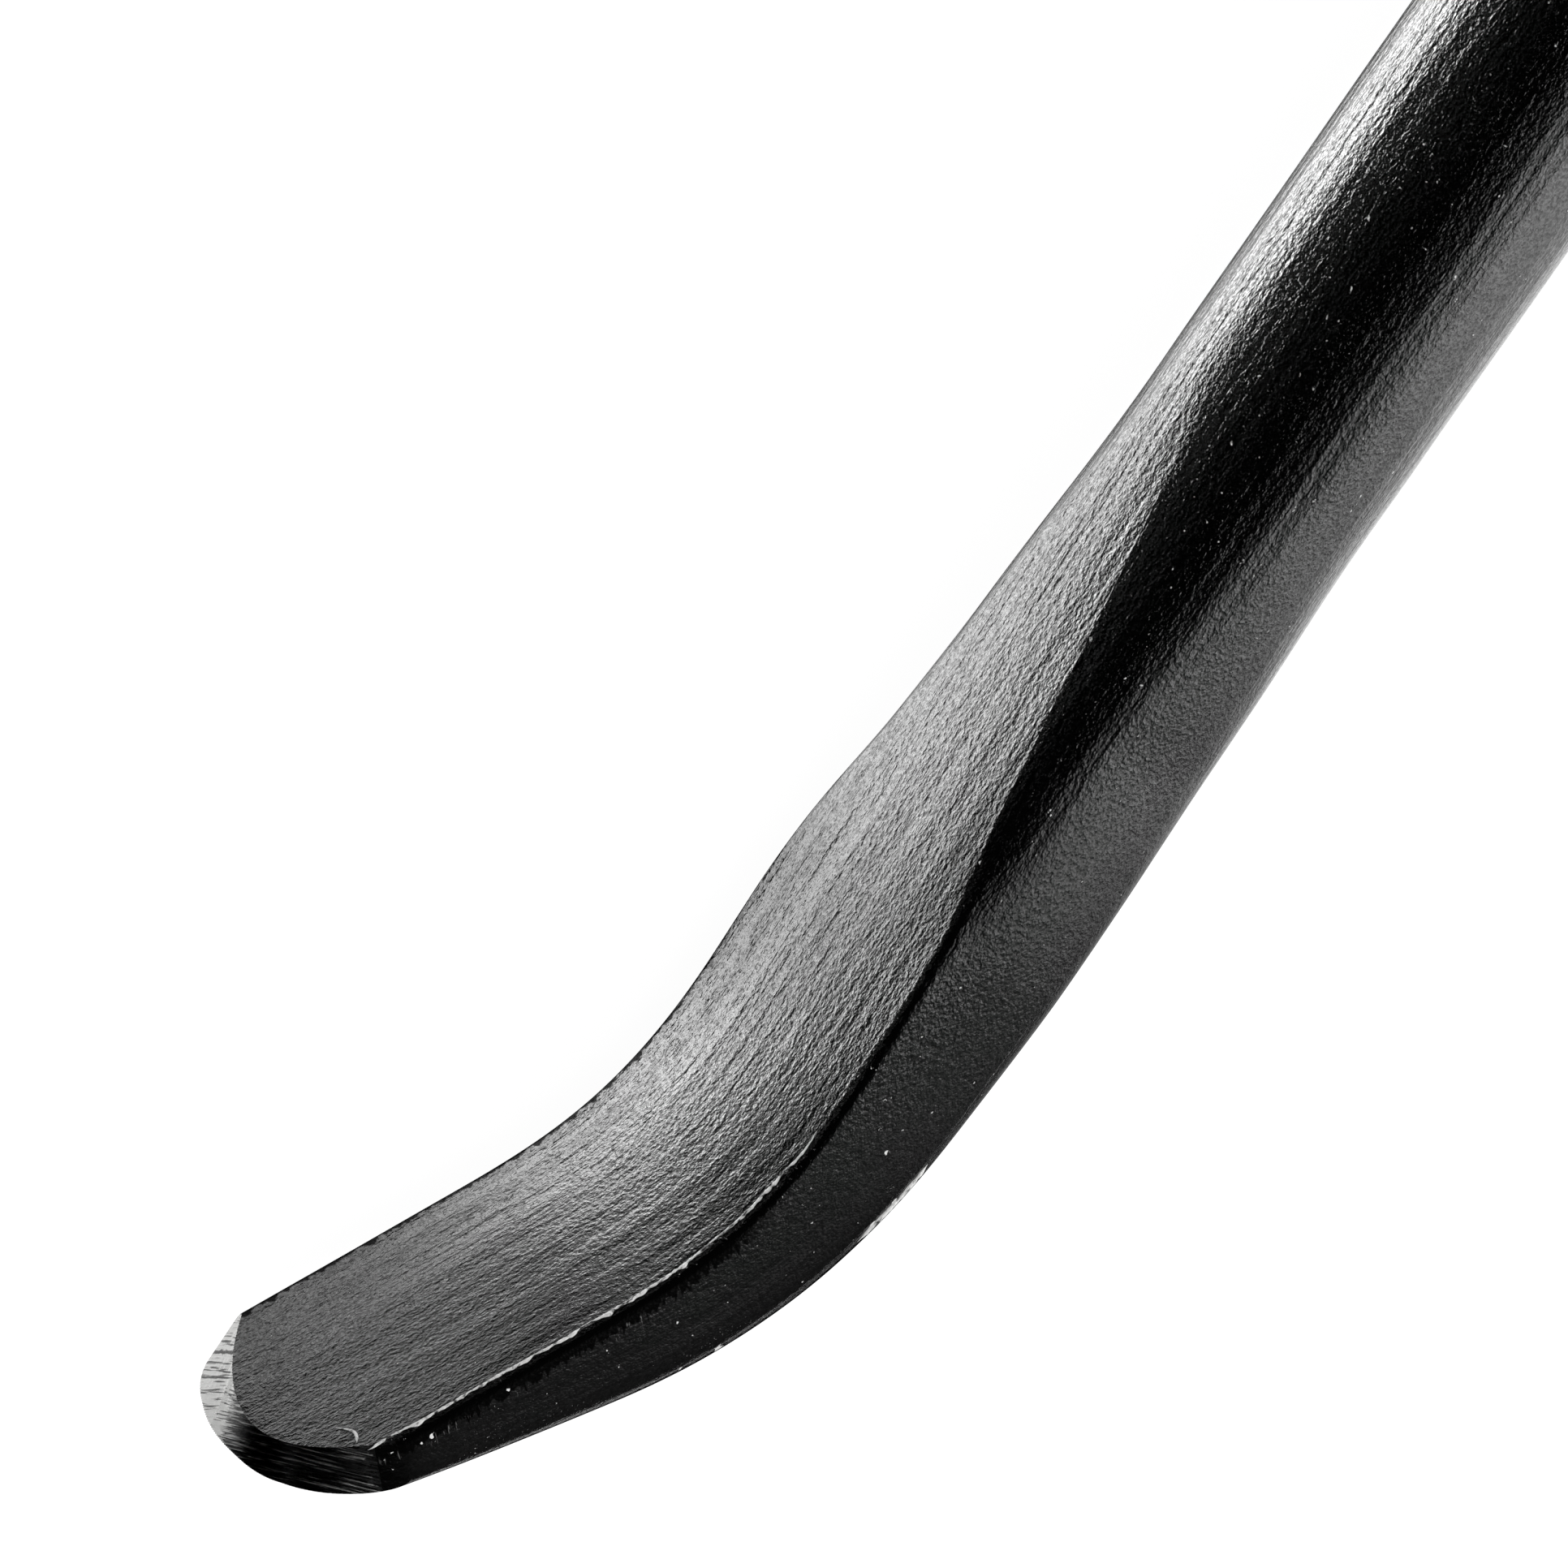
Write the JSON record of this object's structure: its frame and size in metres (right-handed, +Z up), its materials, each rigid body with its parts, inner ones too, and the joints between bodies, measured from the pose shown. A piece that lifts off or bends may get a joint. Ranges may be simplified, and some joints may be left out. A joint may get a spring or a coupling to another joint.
{
  "type": "crowbar",
  "caption": "Gooseneck crowbar: round forged bar with a bent rounded chisel, a slotted nail claw on a hook and a ribbed two-material hand grip.",
  "frame": {"origin": "middle of the part's underside box, with the crowbar lying on its side as it does on a floor", "axes": "+X along the straight shank towards the chisel; +Y the side that the hook and claw bend to, while the chisel bends to -Y; +Z up, square to the plane of both bends"},
  "size_m": [0.6, 0.096, 0.03],
  "materials": {
    "black_enamel": "gloss black enamel over forged steel with fine orange peel; bare ground steel at the chisel's end and the claw's points",
    "hard_plastic": "satin moulded polypropylene",
    "soft_rubber": "matt soft thermoplastic rubber with moulded grooves"
  },
  "bodies": {
    "root": {"forged_bar": "black_enamel", "grip_core": "hard_plastic", "locking_collar": "hard_plastic", "grip_cover": "soft_rubber"}
  },
  "joints": []
}
